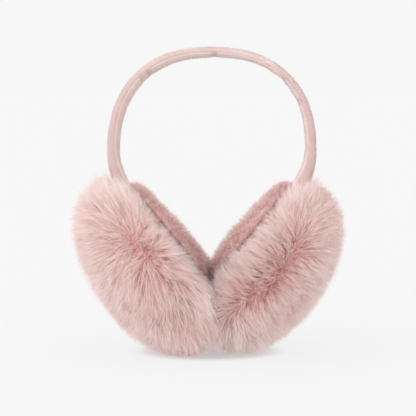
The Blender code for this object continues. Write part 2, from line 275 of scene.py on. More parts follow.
# How the strands lie. They lean away from a parting, most beside it, and more on the side that meets
# the head, and the swells, which are about size across, turn them a little
LEAN_NEAR, LEAN_FAR = 0.65, 0.32
LEAN_ONSET = 3.5 * MM
LEAN_FADE = 26.0 * MM
INNER_LEAN = {-1: 0.3, 1: 0.55}
INNER_FROM, INNER_TO = 16.0 * MM, 4.0 * MM
DROOP = 0.14
STRAY = 0.16
HEADING_SWELLS = (
    {"size": 24.0 * MM, "amount": 0.15, "seed": 0},
    {"size": 9.0 * MM, "amount": 0.12, "seed": 20},
    {"size": 4.5 * MM, "amount": 0.12, "seed": 40},
    {"size": 2.6 * MM, "amount": 0.10, "seed": 60},
)
STRAND_BEND = 0.42
TUFT_SIZE = 7.0 * MM
TUFT_PULL = 0.16
SHORTEST_STRAND, LONGEST_STRAND = 4.0 * MM, 40.0 * MM
LENGTH_HALVINGS = 16
FUR_FLOOR = 0.25 * MM
FUR_FLOOR_SPREAD = 3.0
BARE_BELOW_BAND = 4.0 * MM
FUR_BAND_GAP = 0.4 * MM
RING_OVERLAP = 4.0 * MM

# Where the fur ends, as shares of its full shape
SHALLOW_PARTING = 0.035
PARTING_SPREAD = 5.0 * MM
END_SWELL, END_SIZE = 0.010, 12.0 * MM
CREASE_FILL = {-1: 0.05, 1: 0.09}
TOP_FULLNESS = {-1: 0.035, 1: 0.015}
TOP_FROM, TOP_TO = 0.35, 0.75
LOW_FULLNESS = 0.042
LOW_FROM, LOW_TO = 12.0 * MM, 40.0 * MM

# The fringe beside the ring: longer, more ragged, in tighter tufts, and lighter with painted light
FRINGE_FROM, FRINGE_TO = 1.0 * MM, 9.0 * MM
FRINGE_REACH = 0.05
FRINGE_SIZE = 4.5 * MM
FRINGE_SWELL = 0.05
FRINGE_SPREAD = 0.09
FRINGE_PULL = 0.75
# Painted light on the fringe
FRINGE_PAINTED_LIGHT = 0.3

# How the two cups' fur crosses where they meet, with a notch below it at the floor
WEAVE_SIZE = 7.0 * MM
WEAVE_DEPTH = 2.2 * MM
WEAVE_OVERLAP = 1.4 * MM
WEAVE_TIPS = 5.0 * MM
CREASE_LOOK = 14.0 * MM
CREASE_REACH = 10.0 * MM
CREASE_TURN = 0.35
NOTCH_HEIGHT = 5.8 * MM
NOTCH_ASIDE = -1.4 * MM
NOTCH_FROM, NOTCH_TO = 3.0 * MM, 11.5 * MM
FLOOR_SPLAY = 0.05
CONTACT_ASIDE = 21.0 * MM

# The strands' tones: 0 is the darkest and 1 the lightest
TONE_RANGE = (0.03, 0.97)
FUR_TONE = 0.52
FUR_MOTTLE, FUR_MOTTLE_SIZE = 0.10, 16.0 * MM
STRAND_TONE = 0.10
TUFT_TONE = 0.14
# Painted shade at the right cup's partings and painted light at the left cup's
PARTING_LIGHT_AND_SHADE = {-1: 0.05, 1: -0.25}
# Painted light on the side that meets the head, more on the right cup
INNER_PAINTED_LIGHT = {-1: 0.1, 1: 0.18}
TOP_SHADE = {-1: 0.0, 1: 0.15}
UNDERSIDE_SHADE = 0.7
UNDERSIDE_TO = 14.0 * MM

# Colours
FUR_ROOT = (0.86, 0.475, 0.445)
FUR_MIDDLE = (0.938, 0.792, 0.768)
FUR_TIP = (0.96, 0.945, 0.93)
FUR_THROUGH = (0.96, 0.785, 0.757)
RING_ROOT = (0.64, 0.38, 0.36)
RING_MIDDLE = (0.82, 0.66, 0.63)
RING_TIP = (0.92, 0.83, 0.80)
RING_THROUGH = (0.86, 0.69, 0.66)
BAND_SEAM = (0.56, 0.39, 0.37)
BAND_FACE = (0.64, 0.48, 0.455)
# The lining's colour is partly its own lighter tone and partly painted light against the shade beneath the
# band
BAND_LINING = (0.80, 0.68, 0.65)
BAND_THROUGH = (0.76, 0.62, 0.59)
PELT_DARK = (0.80, 0.45, 0.42)
PELT_LIGHT = (0.90, 0.58, 0.55)

# The camera and the light
CAMERA_DISTANCE = 1000.0 * MM
CAMERA_ELEVATION = math.radians(5.0)
CAMERA_LENS = 135.2
AIM_ASIDE = -1.92 * MM
AIM_HEIGHT = 92.8 * MM
SUNS = (
    {"name": "key", "from": (-0.9, -0.8, 0.6), "strength": 1.05, "spread": 60},
    {"name": "fill", "from": (0.2, -1.0, 0.1), "strength": 0.8, "spread": 90},
    {"name": "rim", "from": (-0.6, 0.8, 0.8), "strength": 0.4, "spread": 60},
)
BACKGROUND = 0.93
FLOOR_SHADE = 0.1
CONTACT_SHADE = 0.42
CONTACT_WIDTH = 44.0 * MM
CONTACT_DEPTH = 31.0 * MM
FLOOR_SIZE = 24.0

TINY = 1e-9
BAKE_MAP = "OFBake"
MAP_STRAND_WIDTH = 0.006


def unit(vectors):
    return vectors / np.maximum(np.linalg.norm(vectors, axis=-1, keepdims=True), TINY)


def smooth_step(values, start, end):
    """0 before start and 1 after end, with a smooth step between them."""
    share = np.clip((values - start) / (end - start), 0.0, 1.0)
    return share * share * (3 - 2 * share)


def swells(points, size, seed, waves=9):
    """A smooth random field of three parts, mostly between -1 and 1, whose swells are about size across."""
    dice = np.random.default_rng(seed)
    total = np.zeros_like(points)
    for _ in range(waves):
        heading = unit(dice.normal(size=3)) * dice.uniform(0.6, 1.5) * math.pi / size
        total += np.sin((points @ heading)[:, None] + dice.uniform(0, 2 * math.pi, 3))
    return total / math.sqrt(waves)


def from_table(rows, key, values, wanted):
    """Reads a table of rows at the wanted places, with straight lines between the rows."""
    return np.interp(wanted, [row[key] for row in rows], [row[values] for row in rows])


# The whole object's shift from the cups' own middle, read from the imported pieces
PLANE_X = (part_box("left_ear_pad")[0].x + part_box("right_ear_pad")[1].x) / 2
SHIFT_Y = (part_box("headband")[0].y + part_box("headband")[1].y) / 2 - TAIL_DEPTH * math.sin(CUP_YAW)


class Cup:
    """One cup's place. Its own axes are across, up to the band, and out, away from the head."""

    def __init__(self, side):
        self.side = side
        self.name = CUP_NAMES[side]
        self.radius = FUR_RADIUS[side]
        self.outer = FUR_OUTER_DEPTH[side]
        self.inner = FUR_INNER_DEPTH[side]
        tilt, flat_tilt = math.sin(CUP_TILT), math.cos(CUP_TILT)
        yaw, flat_yaw = math.sin(CUP_YAW), math.cos(CUP_YAW)
        self.out = np.array((side * flat_tilt * flat_yaw, -yaw, -tilt * flat_yaw))
        self.up = np.array((side * tilt, 0.0, flat_tilt))
        self.across = np.cross(self.up, self.out)
        self.axes = np.array((self.across, self.up, self.out))
        self.centre = np.array((PLANE_X + side * CUP_OFFSET, SHIFT_Y, CUP_HEIGHT))
        self.partings = np.concatenate([self.parting(rows) for rows in PARTINGS])

    def to_world(self, points):
        return points @ self.axes + self.centre

    def to_cup(self, points):
        return (points - self.centre) @ self.axes.T

    def reach(self, points):
        """How far out points of the cup's axes lie, as a share of the fur's full shape."""
        ring = np.hypot(points[:, 0], points[:, 1]) / self.radius
        outer = np.hypot(ring, points[:, 2] / self.outer)
        depth = np.maximum(-points[:, 2], 0.0) / self.inner
        inner = (ring**FUR_INNER_POWER + depth**FUR_INNER_POWER) ** (1 / FUR_INNER_POWER)
        return np.where(points[:, 2] >= 0, outer, inner)

    def normals(self, points):
        """The way out of the fur's full shape, for points of the cup's axes."""
        ring = np.hypot(points[:, 0], points[:, 1])
        around = unit(points * (1.0, 1.0, 0.0))
        outer = around * (ring / self.radius**2)[:, None]
        outer[:, 2] = points[:, 2] / self.outer**2
        power = FUR_INNER_POWER - 1
        depth = np.maximum(-points[:, 2], 0.0)
        inner = around * ((ring / self.radius) ** power / self.radius)[:, None]
        inner[:, 2] = -((depth / self.inner) ** power) / self.inner
        return unit(np.where(points[:, 2:] >= 0, outer, inner))

    def parting(self, rows):
        """Points along one parting, on the fur's full shape."""
        angles = np.linspace(rows[0]["angle"], rows[-1]["angle"], len(rows) * PARTING_STEPS)
        falling = rows[0]["angle"] > rows[-1]["angle"]
        ordered = rows[::-1] if falling else rows
        out = from_table(ordered, "angle", "out", angles)
        ring = self.radius * np.sqrt(1 - np.clip(out, 0, 1) ** 2)
        turned = np.radians(angles)
        return np.stack((ring * np.cos(turned), ring * np.sin(turned), out * self.outer), axis=1)

    def from_parting(self, points, normals):
        """The way along the surface from the nearest parting, and how far it is."""
        full = points / self.reach(points)[:, None]
        nearest = np.full(len(points), np.inf)
        away = np.zeros_like(points)
        for place in self.partings:
            gap = full - place
            distance = np.linalg.norm(gap, axis=1)
            closer = distance < nearest
            nearest[closer] = distance[closer]
            away[closer] = gap[closer]
        away -= normals * np.sum(away * normals, axis=1, keepdims=True)
        return unit(away), nearest


CUPS = {side: Cup(side) for side in (-1, 1)}


def crease_at(heights):
    """The place across, in the world, where the two cups' fur meets at these heights."""
    return PLANE_X + CREASE_SWAY * from_table(CREASE, "height", "aside", heights / CREASE_HEIGHT)


def piece_from(made, name, material, replaced):
    """Turns a bmesh in world axes into a smooth piece that rides on the body."""
    mesh = bpy.data.meshes.new(name)
    bmesh.ops.recalc_face_normals(made, faces=made.faces)
    if made.calc_volume(signed=True) < 0:
        bmesh.ops.reverse_faces(made, faces=made.faces)
    made.to_mesh(mesh)
    made.free()
    mesh.shade_smooth()
    return finished_piece(mesh, name, material, replaced)


def finished_piece(mesh, name, material, replaced):
    mesh.materials.append(material)
    piece = bpy.data.objects.new(name, mesh)
    bpy.context.scene.collection.objects.link(piece)
    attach(piece, "root")
    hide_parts(replaced)
    return piece


def surface_of(piece):
    """A piece's points and its faces cut into triangles, as arrays."""
    mesh = piece.data
    mesh.calc_loop_triangles()
    points = np.empty(len(mesh.vertices) * 3)
    mesh.vertices.foreach_get("co", points)
    faces = np.empty(len(mesh.loop_triangles) * 3, np.int32)
    mesh.loop_triangles.foreach_get("vertices", faces)
    return points.reshape(-1, 3), faces.reshape(-1, 3)


def scattered(points, faces, weights, count, dice):
    """Random places on the faces, as many to an area as the weights say, and the faces' normals there."""
    a, b, c = (points[faces[:, corner]] for corner in range(3))
    crossed = np.cross(b - a, c - a)
    share = np.linalg.norm(crossed, axis=1) * weights
    chosen = dice.choice(len(faces), count, p=share / share.sum())
    u, v = dice.random((2, count, 1))
    over = u + v > 1
    u, v = np.where(over, 1 - u, u), np.where(over, 1 - v, v)
    a, b, c = a[chosen], b[chosen], c[chosen]
    return a + u * (b - a) + v * (c - a), unit(crossed[chosen])


def gathered(lines, spacing, pull, dice):
    """Draws strands together in tufts: each leans to the nearest of the strands that lead a tuft.

    Lines holds every strand's points, root first, and pull says how far each of them gives way, for
    all the strands alike or strand by strand.
    """
    roots = lines[:, 0]
    low, high = roots.min(axis=0), roots.max(axis=0)
    cells = np.unique(np.floor((roots - low) / spacing + dice.random(3)), axis=0)
    leaders = dice.choice(len(roots), min(len(cells), len(roots)), replace=False)
    tree = KDTree(len(leaders))
    for index, leader in enumerate(leaders):
        tree.insert(roots[leader], index)
    tree.balance()
    nearest = leaders[[tree.find(root)[1] for root in roots]]
    return lines + (lines[nearest] - lines) * np.broadcast_to(pull, lines.shape[:2])[:, :, None], nearest


def strand_mesh(name, lines, width, along, tone, dice, facing=0.0):
    """One mesh of flat tapering strands, each turned its own way, its map holding tone and way along."""
    count, knots = lines.shape[:2]
    tangents = unit(lines[:, -1] - lines[:, 0])
    sides = unit(np.cross(tangents, facing + dice.normal(size=(count, 3))))
    shape = np.sin(np.linspace(0.25, 1.0, knots) * math.pi)[:-1] ** 0.6
    widths = width * (0.7 + 0.6 * dice.random((count, 1))) * shape
    offset = sides[:, None, :] * widths[:, :, None] / 2
    left, right = lines[:, :-1] - offset, lines[:, :-1] + offset
    pairs = np.stack((left, right), axis=2).reshape(count, -1, 3)
    points = np.concatenate((pairs, lines[:, -1:]), axis=1)
    per_strand = points.shape[1]
    pattern = []
    for knot in range(knots - 2):
        a, b, c, d = 2 * knot, 2 * knot + 1, 2 * knot + 2, 2 * knot + 3
        pattern += [(a, b, d), (a, d, c)]
    pattern.append((per_strand - 3, per_strand - 2, per_strand - 1))
    faces = (np.arange(count)[:, None, None] * per_strand + np.array(pattern)).reshape(-1, 3)
    edge = np.tile((-MAP_STRAND_WIDTH / 2, MAP_STRAND_WIDTH / 2), knots - 1)
    across = tone[:, None] + np.append(edge, 0.0)
    climbed = np.append(np.repeat(along[:-1], 2), along[-1])
    maps = np.stack((across, np.broadcast_to(climbed, across.shape)), axis=2).reshape(-1, 2)

    mesh = bpy.data.meshes.new(name)
    mesh.vertices.add(count * per_strand)
    mesh.vertices.foreach_set("co", points.astype(np.float32).ravel())
    mesh.loops.add(faces.size)
    mesh.loops.foreach_set("vertex_index", faces.astype(np.int32).ravel())
    mesh.polygons.add(len(faces))
    mesh.polygons.foreach_set("loop_start", np.arange(0, faces.size, 3, dtype=np.int32))
    mesh.update(calc_edges=True)
    layer = mesh.uv_layers.new(name=BAKE_MAP)
    layer.data.foreach_set("uv", maps[faces.ravel()].astype(np.float32).ravel())
    mesh.shade_smooth()
    return mesh


# Materials


class Wire:
    """A node's output, on which sums, products and powers add Math nodes."""

    def __init__(self, finish, socket):
        self.finish = finish
        self.socket = socket

    def maths(self, operation, first, second):
        return self.finish.node(
            "ShaderNodeMath", {"operation": operation}, {"Value": first, "Value_001": second}
        )

    def __add__(self, other):
        return self.maths("ADD", self, other)

    def __radd__(self, other):
        return self.maths("ADD", other, self)

    def __sub__(self, other):
        return self.maths("SUBTRACT", self, other)

    def __rsub__(self, other):
        return self.maths("SUBTRACT", other, self)

    def __mul__(self, other):
        return self.maths("MULTIPLY", self, other)

    def __rmul__(self, other):
        return self.maths("MULTIPLY", other, self)

    def __pow__(self, other):
        return self.maths("POWER", self, other)


class Finish:
    """A material that is being made: its nodes, and the shader that it ends in."""

    def __init__(self, name, colour):
        self.material = bpy.data.materials.new(name)
        self.material.use_nodes = True
        self.material.diffuse_color = (*colour, 1.0)
        self.tree = self.material.node_tree
        self.shader = self.tree.nodes["Principled BSDF"]
        self.output = self.tree.nodes["Material Output"]

    def feed(self, node, name, value):
        """Gives a node's socket a value, or a link where the value is a wire."""
        socket = next(found for found in node.inputs if found.identifier == name)
        if isinstance(value, Wire):
            self.tree.links.new(value.socket, socket)
        else:
            socket.default_value = value

    def node(self, kind, settings=None, sockets=None, output=0):
        """Adds a node: its settings first, then its sockets' values or links."""
        made = self.tree.nodes.new(kind)
        for name, value in (settings or {}).items():
            setattr(made, name, value)
        for name, value in (sockets or {}).items():
            self.feed(made, name, value)
        return Wire(self, made.outputs[output])

    def from_map(self):
        """The tone and the way along that a piece holds in its map."""
        place = self.node("ShaderNodeUVMap", {"uv_map": BAKE_MAP})
        tone = self.node("ShaderNodeSeparateXYZ", {}, {"Vector": place})
        return tone, Wire(self, tone.socket.node.outputs["Y"])

    def mix(self, share, first, second):
        """A colour between two colours."""
        colours = {"Factor_Float": share, "A_Color": first, "B_Color": second}
        return self.node("ShaderNodeMix", {"data_type": "RGBA"}, colours, output=2)

    def step(self, value, start, end):
        """0 before start and 1 after end, with a smooth step between them."""
        span = {"Value": value, "From Min": start, "From Max": end}
        return self.node("ShaderNodeMapRange", {"interpolation_type": "SMOOTHSTEP"}, span)

    def noise(self, vector, scale, detail=3.0, roughness=0.55):
        sockets = {"Vector": vector, "Scale": scale, "Detail": detail, "Roughness": roughness}
        return self.node("ShaderNodeTexNoise", {}, sockets)

    def principled(self, **values):
        for name, value in values.items():
            self.feed(self.shader, name.replace("_", " "), value)

    def glow_through(self, share, colour):
        """Lets some light through the strands."""
        through = self.node("ShaderNodeBsdfTranslucent", {}, {"Color": (*colour, 1.0)})
        shader = Wire(self, self.shader.outputs["BSDF"])
        both = self.node("ShaderNodeMixShader", {}, {"Fac": share, "Shader": shader, "Shader_001": through})
        self.tree.links.new(both.socket, self.output.inputs["Surface"])


def strand_finish(name, root, middle, tip, through, share):
    """A pile's finish: darker at the root, lighter at the tip, and each strand with its own tone."""
    finish = Finish(name, middle)
    tone, along = finish.from_map()
    lower = finish.mix(finish.step(along, 0.0, 0.6), (*root, 1.0), (*middle, 1.0))
    colour = finish.mix(finish.step(along, 0.45, 1.0), lower, (*tip, 1.0))
    dark = finish.mix(finish.step(tone, 0.5, 0.0) * 0.6, colour, (*root, 1.0))
    light = finish.mix(finish.step(tone, 0.5, 1.0) * 0.5, dark, (*tip, 1.0))
    finish.principled(
        Base_Color=light,
        Roughness=0.62,
        Specular_IOR_Level=0.12,
        Sheen_Weight=0.05,
        Sheen_Roughness=0.45,
        Sheen_Tint=(1.0, 0.85, 0.82, 1.0),
    )
    finish.glow_through(share, through)
    return finish.material


def backing_finish(name, dark, light, grain):
    """Woven backing or plush ground: mottled, with a fine grain in its bump."""
    finish = Finish(name, light)
    place = finish.node("ShaderNodeTexCoord", output=3)
    mottle = finish.noise(place, 90.0)
    fine = finish.noise(place, grain, 2.0)
    colour = finish.mix(finish.step(mottle + fine * 0.4, 0.45, 0.95), (*dark, 1.0), (*light, 1.0))
    bump = finish.node("ShaderNodeBump", {}, {"Strength": 0.5, "Distance": 0.0004, "Height": fine})
    finish.principled(Base_Color=colour, Roughness=0.85, Normal=bump, Sheen_Weight=0.1)
    return finish.material


def velour_finish(name, roughness, sheen, grain):
    """Velour: dark in the seams, lighter on the inner lining, partly with painted light, with a cream sheen
    and a fine grain.
    """
    finish = Finish(name, BAND_FACE)
    tone, along = finish.from_map()
    seam, face, lining = ((*colour, 1.0) for colour in (BAND_SEAM, BAND_FACE, BAND_LINING))
    outer = finish.mix(finish.step(tone, 0.0, 0.5), seam, face)
    both = finish.mix(finish.step(tone, 0.5, 0.9), outer, lining)
    colour = finish.mix(finish.step(along, 0.6, 0.0) * 0.4, both, seam)
    fine = finish.noise(finish.node("ShaderNodeTexCoord", output=3), grain, 2.0)
    bump = finish.node("ShaderNodeBump", {}, {"Strength": 0.4, "Distance": 0.0003, "Height": fine})
    finish.principled(
        Base_Color=colour,
        Roughness=roughness,
        Specular_IOR_Level=0.15,
        Sheen_Weight=sheen,
        Sheen_Roughness=0.5,
        Sheen_Tint=(1.0, 0.95, 0.91, 1.0),
        Normal=bump,
    )
    return finish


long_fur = strand_finish("long_pink_fur", FUR_ROOT, FUR_MIDDLE, FUR_TIP, FUR_THROUGH, 0.45)
short_fur = strand_finish("short_pink_fur", RING_ROOT, RING_MIDDLE, RING_TIP, RING_THROUGH, 0.4)
velour_ground = velour_finish("velour_ground", 0.9, 0.4, 1500.0).material
pile_finish = velour_finish("velour_pile", 0.8, 0.15, 2500.0)
pile_finish.glow_through(0.35, BAND_THROUGH)
pelt_finish = backing_finish("pelt_backing", PELT_DARK, PELT_LIGHT, 900.0)
ring_finish = backing_finish("ring_backing", RING_ROOT, RING_MIDDLE, 1200.0)


# The band


def arch_point(angle, half_width):
    across, rise = math.cos(angle), math.sin(angle)
    size = (abs(across) / half_width) ** ARCH_POWER + (abs(rise) / ARCH_RISE) ** ARCH_POWER
    return np.array((across, 0.0, rise)) * size ** (-1 / ARCH_POWER)


def band_half(cup):
    """One half of the band's centre line, from the top of the arch to the tail's end in the cup."""
    entry = cup.to_world(np.array((0.0, TAIL_ENTRY, -TAIL_DEPTH)))
    tail = cup.to_world(np.array((0.0, TAIL_ENTRY - TAIL_LENGTH, -TAIL_DEPTH)))
    half_width = cup.side * (entry[0] - PLANE_X) + LEG_BULGE[cup.side]
    middle = np.array((PLANE_X, entry[1], entry[2] + LEG_HEIGHT))
    turns = math.pi / 2 * (1 - np.arange(ROUTE_STEPS + 1) / ROUTE_STEPS)
    arch = [middle + arch_point(turn, half_width) * (cup.side, 1.0, 1.0) for turn in turns]
    arch = [place + ((place[2] - middle[2]) / ARCH_RISE * ARCH_SKEW, 0.0, 0.0) for place in arch]
    start = arch[-1]
    pulls = (start, start - (0.0, 0.0, TAIL_BEND), tail + cup.up * TAIL_BEND, tail)
    for share in np.arange(1, ROUTE_STEPS + 1) / ROUTE_STEPS:
        rest = 1 - share
        weights = (rest**3, 3 * rest**2 * share, 3 * rest * share**2, share**3)
        arch.append(sum(weight * pull for weight, pull in zip(weights, pulls)))
    return np.array(arch)


class BandRoute:
    """The band's centre line from the left tail to the right one, with its section's axes at even steps."""

    def __init__(self):
        left, right = band_half(CUPS[-1]), band_half(CUPS[1])
        line = np.concatenate((left[::-1], right[1:]))
        lengths = np.append(0.0, np.cumsum(np.linalg.norm(np.diff(line, axis=0), axis=1)))
        self.length = lengths[-1]
        places = np.linspace(0.0, self.length, BAND_SECTIONS + 1)
        self.centres = np.stack([np.interp(places, lengths, line[:, axis]) for axis in range(3)], axis=1)
        along = np.gradient(self.centres, axis=0)
        share = np.linspace(0.0, 1.0, BAND_SECTIONS + 1)
        self.from_end = np.minimum(share, 1 - share)
        along[0], along[-1] = CUPS[-1].up, -CUPS[1].up
        self.along = unit(along)
        turned = 1 - smooth_step(self.from_end, BAND_TURN_FROM, BAND_TURN_TO)
        across = [CUPS[-1].across, CUPS[1].across]
        across = [axis if axis[1] > 0 else -axis for axis in across]
        cup_axis = np.where(share[:, None] < 0.5, across[0], across[1])
        straight = np.array((0.0, 1.0, 0.0))
        wide = unit(straight + (cup_axis - straight) * turned[:, None])
        turn = np.radians(from_table(BAND_FORM, "along", "turn", share))[:, None]
        thick = unit(np.cross(self.along, wide))
        wide = np.cross(thick, self.along)
        self.wide = wide * np.cos(turn) - thick * np.sin(turn)
        self.thick = np.cross(self.along, self.wide)
        self.thickness = BAND_THICKNESS * from_table(BAND_FORM, "along", "thick", share)
        self.creased = np.zeros(len(share))
        for crease in BAND_CREASES:
            from_crease = (share - crease["along"]) / BAND_CREASE_WIDTH
            self.creased += crease["deep"] * np.exp(-(from_crease**2))

    def section(self, index):
        """One section's rounded outline under the velour, with a groove at each seam of the lining."""
        turns = 2 * math.pi * np.arange(BAND_SECTION_POINTS) / BAND_SECTION_POINTS
        across, through = np.cos(turns), np.sin(turns)
        size = np.abs(across) ** BAND_SECTION_POWER + np.abs(through) ** BAND_SECTION_POWER
        reach = size ** (-1 / BAND_SECTION_POWER)
        inset = np.full(BAND_SECTION_POINTS, VELOUR_INSET)
        inset[[BAND_SECTION_POINTS // 2 + SEAM_STEP, BAND_SECTION_POINTS - SEAM_STEP]] += SEAM_DEPTH
        half_width = BAND_WIDTH / 2 - inset
        half_thickness = self.thickness[index] / 2 - inset
        half_thickness -= BAND_CREASE_DEPTH * self.creased[index] * (through < 0)
        wide = (across * reach * half_width)[:, None] * self.wide[index]
        thick = (through * reach * half_thickness)[:, None] * self.thick[index]
        return self.centres[index] + wide + thick

    def lining_share(self, points):
        """How far each point lies past a seam of the inner lining, and its nearest section.

        It is an angle round the band's section: 0 at a seam, above 0 in the lining and below 0 outside.
        """
        nearest = np.concatenate([
            np.argmin(np.linalg.norm(part[:, None] - self.centres[None], axis=2), axis=1)
            for part in np.array_split(points, 1 + len(points) // 20000)
        ])
        offset = points - self.centres[nearest]
        wide = np.sum(offset * self.wide[nearest], axis=1) / (BAND_WIDTH / 2)
        thick = np.sum(offset * self.thick[nearest], axis=1) / (self.thickness[nearest] / 2)
        seam = 2 * math.pi * SEAM_STEP / BAND_SECTION_POINTS
        return np.arctan2(-thick, np.abs(wide)) - seam, nearest

    def pushed_out(self, points, spare):
        """Moves points that lie in the band to its nearest side."""
        low, high = self.centres.min(axis=0) - BAND_WIDTH, self.centres.max(axis=0) + BAND_WIDTH
        near = np.flatnonzero(np.all((points > low) & (points < high), axis=1))
        gaps = np.linalg.norm(points[near, None] - self.centres[None, ::BAND_CLEAR_STEP], axis=2)
        section = BAND_CLEAR_STEP * np.argmin(gaps, axis=1)
        close = np.min(gaps, axis=1) < BAND_WIDTH
        near, section = near[close], section[close]
        offset = points[near] - self.centres[section]
        wide = np.sum(offset * self.wide[section], axis=1)
        thick = np.sum(offset * self.thick[section], axis=1)
        spare_wide = BAND_WIDTH / 2 + spare - np.abs(wide)
        spare_thick = self.thickness[section] / 2 + spare - np.abs(thick)
        inside = (spare_wide > 0) & (spare_thick > 0)
        by_width = inside & (spare_wide < spare_thick)
        by_thickness = inside & ~by_width
        moved = points.copy()
        moved[near[by_width]] += (np.sign(wide) * spare_wide)[by_width, None] * self.wide[section[by_width]]
        moved[near[by_thickness]] += (np.sign(thick) * spare_thick)[by_thickness, None] * self.thick[
            section[by_thickness]
        ]
        return moved


BAND = BandRoute()


def band_tones(points):
    """Each point's tone: lighter on the lining, partly with painted light, with painted light on the arch's
    top, dark in its seams and with painted shade in its creases, and its lining_share.
    """
    lining, nearest = BAND.lining_share(points)
    beside_seam = 1 - smooth_step(np.abs(lining), 0.0, SEAM_WIDTH)
    tone = FACE_TONE + VELOUR_MOTTLE * swells(points, VELOUR_MOTTLE_SIZE, 73)[:, 0]
    # The lining lighter, partly its own tone and partly painted light
    tone = tone + LINING_TONE_AND_PAINTED_LIGHT * smooth_step(lining, 0.0, LINING_EDGE)
    # Painted light on the top of the arch
    tone += CROWN_PAINTED_LIGHT * smooth_step(points[:, 2], CROWN_FROM, CROWN_TO)
    tone = tone - SEAM_SHADE * beside_seam - CREASE_SHADE * BAND.creased[nearest] * (lining > 0)
    return tone, lining, nearest


def band_cover():
    """The velour ground of the padded band, drawn in by its pile, with soft creases where it bends."""
    made = bmesh.new()
    loops = []
    for index in range(BAND_SECTIONS + 1):
        ring = [made.verts.new(place) for place in BAND.section(index)]
        loops.append([made.edges.new(pair) for pair in zip(ring, ring[1:] + ring[:1])])
    for first, second in zip(loops, loops[1:]):
        bmesh.ops.bridge_loops(made, edges=first + second)
    for loop in (loops[0], loops[-1]):
        bmesh.ops.contextual_create(made, geom=loop)
    cover = piece_from(made, "headband_cover", velour_ground, "headband")
    points, _ = surface_of(cover)
    tone, _, _ = band_tones(points)
    corners = np.empty(len(cover.data.loops), np.int32)
    cover.data.loops.foreach_get("vertex_index", corners)
    layer = cover.data.uv_layers.new(name=BAKE_MAP)
    maps = np.stack((tone, np.full(len(tone), GROUND_ALONG)), axis=1)
    layer.data.foreach_set("uv", maps[corners].astype(np.float32).ravel())
    return cover


def band_pile(cover):
    """Velour: short fine needles that lean along the band."""
    dice = np.random.default_rng(71)
    points, faces = surface_of(cover)
    centres = points[faces].mean(axis=1)
    seen = np.ones(len(faces))
    for cup in CUPS.values():
        held = cup.to_cup(centres)
        seen[(held[:, 1] < TAIL_ENTRY - PILE_BELOW) & (cup.side * (centres[:, 0] - PLANE_X) > 0)] = 0.0
    roots, normals = scattered(points, faces, seen, PILE_COUNT, dice)
    tone, lining, nearest = band_tones(roots)
    side = np.clip((PLANE_X - roots[:, :1]) / CROWN_HALF_WIDTH, -1.0, 1.0)
    lean = normals + PILE_LEAN * BAND.along[nearest] * side
    lean += PILE_STRAY * swells(roots, PILE_SWELL_SIZE, 72) + PILE_STRAY * dice.normal(size=roots.shape)
    length = VELOUR_DEPTH * (0.9 + 0.6 * dice.random((len(roots), 1)))
    from_seam = smooth_step(np.abs(lining), *SEAM_PILE_EDGE)
    length *= SEAM_PILE + (1 - SEAM_PILE) * from_seam[:, None]
    lines = np.stack((roots - PILE_ROOT * normals, roots + unit(lean) * length), axis=1)
    tone += PILE_TONE * dice.normal(size=len(roots))
    facing = PILE_FACING * normals
    tone = np.clip(tone, *TONE_RANGE)
    mesh = strand_mesh("headband_pile", lines, PILE_WIDTH, PILE_ALONG, tone, dice, facing)
    return finished_piece(mesh, "headband_pile", pile_finish.material, "headband")


# The cups


def pelt(cup):
    """The fur's backing: a cushion that is flat towards the head, with a seat for the ring."""
    made = bmesh.new()
    bmesh.ops.create_icosphere(made, subdivisions=PELT_SUBDIVISIONS, radius=1.0)
    for corner, place in zip(made.verts, pelt_points(cup, np.array([v.co for v in made.verts]))):
        corner.co = place
    axes = {"use_axis_x": True, "use_axis_y": True, "use_axis_z": True}
    bmesh.ops.smooth_vert(made, verts=made.verts, factor=0.5, **axes)
    piece = piece_from(made, cup.name + "_pelt", pelt_finish, cup.name + "_fur_cup")
    return piece


def pelt_points(cup, directions):
    """The pelt's points in the world, for points of a sphere: a dome, a flat side and the ring's seat."""
    level = np.sqrt(np.clip(1 - directions[:, 2] ** 2, 0.0, 1.0))
    power = 2 / PELT_SHOULDER
    outward = directions[:, 2] >= 0
    ring = (cup.radius - OUTER_PILE) * np.where(outward, level, level**power)
    inner = -PELT_INNER_DEPTH * np.abs(directions[:, 2]) ** power
    height = np.where(outward, (cup.outer - OUTER_PILE) * directions[:, 2], inner)
    points = unit(directions * (1.0, 1.0, 0.0)) * ring[:, None]
    points[:, 2] = height
    from_ring = np.hypot(points[:, 0], points[:, 1] - PAD_RAISE)
    seat = 1 - smooth_step(from_ring, PAD_RADIUS - SEAT_WALL_FROM, PAD_RADIUS - SEAT_WALL_TO)
    aside = np.abs(points[:, 0]) - BAND_WIDTH / 2
    beside_band = smooth_step(aside, CHANNEL_WALL_FROM, CHANNEL_WALL_TO)
    tail_end = TAIL_ENTRY - TAIL_LENGTH
    past_band = 1 - smooth_step(points[:, 1], tail_end - CHANNEL_END_FROM, tail_end - CHANNEL_END_TO)
    seat *= (height < 0) * np.maximum(beside_band, past_band)
    points[:, 2] += (-PELT_SEAT_DEPTH - points[:, 2]) * seat
    world = cup.to_world(points)
    world[:, 2] = np.maximum(world[:, 2], PELT_FLOOR_GAP)
    aside = cup.side * (world[:, 0] - PLANE_X)
    world[:, 0] = PLANE_X + cup.side * np.maximum(aside, PELT_PARTNER_GAP)
    return world


def fur_roots(cup, base, count, dice):
    """Random places on the pelt in the cup's axes, none under the ring or in the band's channel."""
    points, faces = surface_of(base)
    held = cup.to_cup(points[faces].mean(axis=1))
    from_ring = np.hypot(held[:, 0], held[:, 1] - PAD_RAISE)
    under_ring = (from_ring < PAD_RADIUS - RING_OVERLAP) & (held[:, 2] < 0)
    in_channel = (np.abs(held[:, 0]) < BAND_WIDTH / 2) & (held[:, 1] > 0) & (held[:, 2] < -BARE_BELOW_BAND)
    roots, _ = scattered(points, faces, ~(under_ring | in_channel), count, dice)
    return cup.to_cup(roots)


